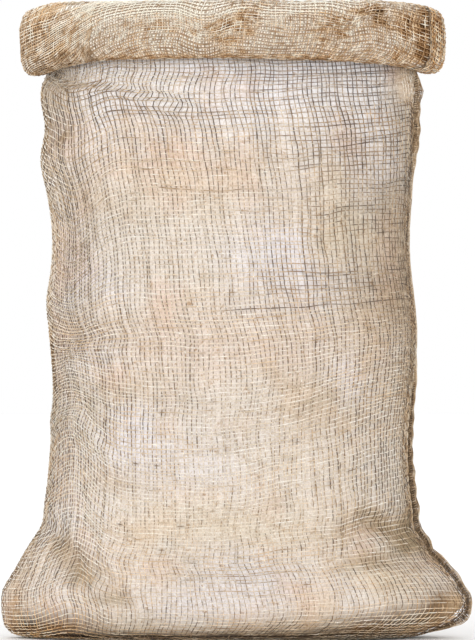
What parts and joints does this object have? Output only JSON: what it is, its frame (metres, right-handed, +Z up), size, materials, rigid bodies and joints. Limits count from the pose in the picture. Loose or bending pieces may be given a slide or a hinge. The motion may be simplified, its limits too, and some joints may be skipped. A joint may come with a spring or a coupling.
{
  "type": "burlap sack",
  "caption": "Open-mesh burlap sack, standing full on its bottom seam with its corners out as ears and its mouth rolled down into a thick hollow cuff",
  "frame": {"origin": "middle of the sack's bounding box, on the flat base", "axes": "+Z up; the front panel faces -Y; +X is to the right seen from the front, where the side seam is"},
  "size_m": [0.4976, 0.2434, 0.6675],
  "materials": {
    "burlap": "natural undyed jute in a very open plain weave, hairy and matt",
    "filling": "off-white soft filling, matt"
  },
  "bodies": {
    "root": {"sack": "burlap", "filling": "filling"}
  },
  "joints": []
}
